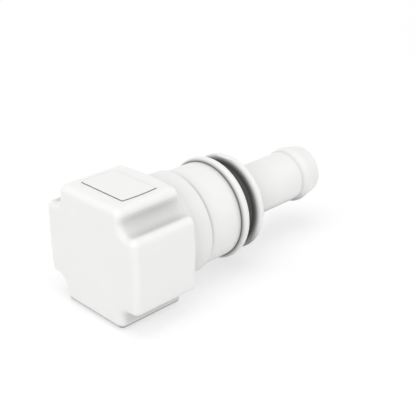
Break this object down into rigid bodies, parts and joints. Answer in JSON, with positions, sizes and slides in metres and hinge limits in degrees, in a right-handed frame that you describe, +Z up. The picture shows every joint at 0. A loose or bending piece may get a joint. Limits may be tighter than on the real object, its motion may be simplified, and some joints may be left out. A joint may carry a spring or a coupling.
{
  "type": "quick disconnect coupling",
  "caption": "White plastic elbow quick disconnect socket with a push-button latch, a plug-operated shut-off valve and a barbed hose stem.",
  "frame": {"origin": "centre of the head's bottom face, under the point where the plug axis and the hose axis cross", "axes": "+Z up through the release button, +Y along the hose axis towards the barb, -X out of the plug socket"},
  "size_m": [0.0234, 0.0543, 0.022],
  "materials": {
    "white_plastic": "fine moulded satin, white",
    "button_plastic": "fine moulded satin, white",
    "valve_plastic": "machined-looking natural plastic",
    "seal_rubber": "black moulded rubber",
    "latch_steel": "stamped stainless steel",
    "spring_steel": "drawn stainless wire"
  },
  "bodies": {
    "housing": {"body": "white_plastic", "mouth_bush": "white_plastic", "seal_retainer": "valve_plastic", "plug_seal": "seal_rubber", "valve_seat": "valve_plastic", "seat_seal": "seal_rubber", "valve_spring": "spring_steel", "latch_spring": "spring_steel", "latch_cover": "white_plastic", "hose_stem": "white_plastic", "stem_seal_front": "seal_rubber", "stem_seal_rear": "seal_rubber", "retaining_ring": "latch_steel", "stem_gasket": "seal_rubber"},
    "latch": {"latch_plate": "latch_steel", "release_button": "button_plastic"},
    "valve": {"valve_poppet": "valve_plastic", "poppet_seal": "seal_rubber"}
  },
  "joints": [
    {"name": "button_press", "type": "slide", "parent": "housing", "child": "latch", "axis": [0, 0, -1], "range_m": [0, 0.0015], "stiffness_N_per_m": 900, "springref_m": -0.003, "deforming": ["latch_spring"]},
    {"name": "valve_open", "type": "slide", "parent": "housing", "child": "valve", "axis": [1, 0, 0], "range_m": [0, 0.0022], "stiffness_N_per_m": 700, "springref_m": -0.003, "deforming": ["valve_spring"]}
  ]
}
